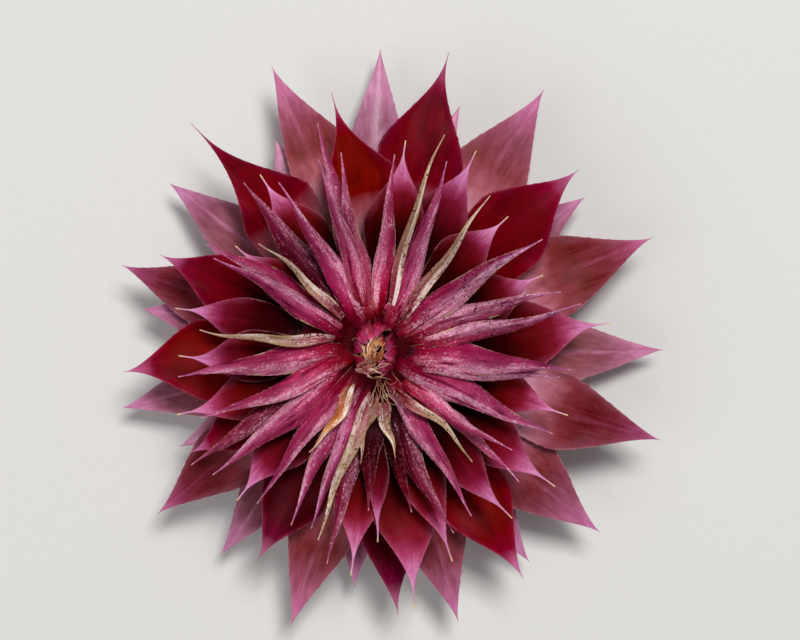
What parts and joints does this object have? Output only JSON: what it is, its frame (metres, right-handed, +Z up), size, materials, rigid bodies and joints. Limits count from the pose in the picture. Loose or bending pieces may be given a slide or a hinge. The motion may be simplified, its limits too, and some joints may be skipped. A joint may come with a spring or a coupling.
{
  "type": "artichoke",
  "caption": "Open violet artichoke head on a short cut stem, with spine-tipped bracts in tiers around a closed bud.",
  "frame": {"origin": "centre of the stem's flat cut face, on the surface the head stands on", "axes": "+Z up along the head's axis, through the bud; +X and +Y across the head"},
  "size_m": [0.0909, 0.0971, 0.038],
  "materials": {
    "outer_bract_pale": "waxy, pale lilac with a light midrib",
    "outer_bract_rose": "waxy, brownish rose with a thin toothed edge",
    "outer_bract_dark": "waxy, dark wine red with a lilac tip",
    "middle_bract": "waxy, dark red cup with a purple spine",
    "inner_bract": "fibrous, magenta with pale streaks and dried margins",
    "bud_flesh": "folded, magenta with dried golden-brown scraps",
    "heart_flesh": "matt, fibrous, pale green-beige at the cut"
  },
  "bodies": {
    "root": {"broad_bract_01": "outer_bract_rose", "broad_bract_02": "outer_bract_rose", "broad_bract_03": "outer_bract_rose", "broad_bract_04": "outer_bract_rose", "broad_bract_05": "outer_bract_rose", "broad_bract_06": "outer_bract_rose", "broad_bract_07": "outer_bract_rose", "broad_bract_08": "outer_bract_rose", "broad_bract_09": "outer_bract_rose", "dark_bract_01": "outer_bract_dark", "dark_bract_02": "outer_bract_dark", "dark_bract_03": "outer_bract_dark", "dark_bract_04": "outer_bract_dark", "dark_bract_05": "outer_bract_dark", "dark_bract_06": "outer_bract_dark", "dark_bract_07": "outer_bract_dark", "dark_bract_08": "outer_bract_dark", "dark_bract_09": "outer_bract_dark", "dark_bract_10": "outer_bract_dark", "dark_bract_11": "outer_bract_dark", "dark_bract_12": "outer_bract_dark", "guard_bract_01": "outer_bract_pale", "guard_bract_02": "outer_bract_pale", "guard_bract_03": "outer_bract_pale", "guard_bract_04": "outer_bract_pale", "guard_bract_05": "outer_bract_pale", "guard_bract_06": "outer_bract_pale", "guard_bract_07": "outer_bract_pale", "guard_bract_08": "outer_bract_pale", "guard_bract_09": "outer_bract_pale", "heart_and_stem": "heart_flesh", "inner_bud": "bud_flesh", "narrow_bract_01": "inner_bract", "narrow_bract_02": "inner_bract", "narrow_bract_03": "inner_bract", "narrow_bract_04": "inner_bract", "narrow_bract_05": "inner_bract", "narrow_bract_06": "inner_bract", "narrow_bract_07": "inner_bract", "narrow_bract_08": "inner_bract", "narrow_bract_09": "inner_bract", "narrow_bract_10": "inner_bract", "narrow_bract_11": "inner_bract", "narrow_bract_12": "inner_bract", "narrow_bract_13": "inner_bract", "narrow_bract_14": "inner_bract", "narrow_bract_15": "inner_bract", "narrow_bract_16": "inner_bract", "spiny_bract_01": "middle_bract", "spiny_bract_02": "middle_bract", "spiny_bract_03": "middle_bract", "spiny_bract_04": "middle_bract", "spiny_bract_05": "middle_bract", "spiny_bract_06": "middle_bract", "spiny_bract_07": "middle_bract", "spiny_bract_08": "middle_bract", "spiny_bract_09": "middle_bract", "spiny_bract_10": "middle_bract", "spiny_bract_11": "middle_bract", "spiny_bract_12": "middle_bract"}
  },
  "joints": []
}
